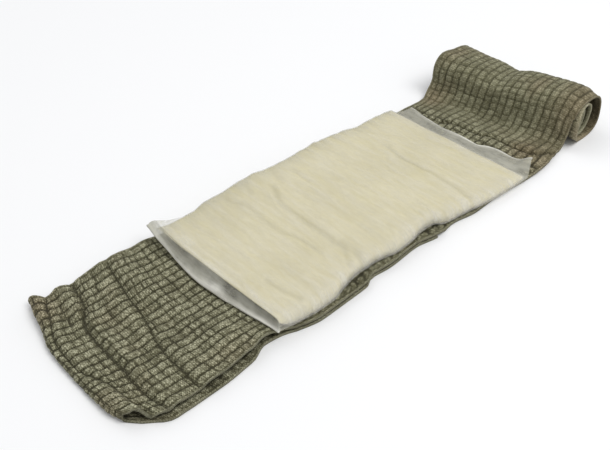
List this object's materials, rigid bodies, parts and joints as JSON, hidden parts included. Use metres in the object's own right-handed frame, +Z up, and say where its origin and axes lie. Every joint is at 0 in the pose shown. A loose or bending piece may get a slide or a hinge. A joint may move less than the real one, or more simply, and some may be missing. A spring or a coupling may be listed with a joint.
{
  "type": "emergency trauma bandage",
  "caption": "Elastic wrap dressing laid open, with a thick absorbent pad on a ribbed olive strip whose tail is folded under and whose long end is wound into a loose roll.",
  "frame": {"origin": "middle of the footprint, on the surface that the bandage lies on", "axes": "+X runs along the wrap towards the roll, +Y from the front edge to the back edge, +Z up"},
  "size_m": [0.3612, 0.11, 0.0296],
  "materials": {
    "elastic_wrap": "matt ribbed elastic knit, mottled olive and grey",
    "pad_core": "soft matt cream absorbent wadding",
    "pad_cover": "thin matt white nonwoven veil"
  },
  "bodies": {
    "root": {"elastic_wrap": "elastic_wrap", "pad_core": "pad_core", "pad_cover": "pad_cover"}
  },
  "joints": []
}
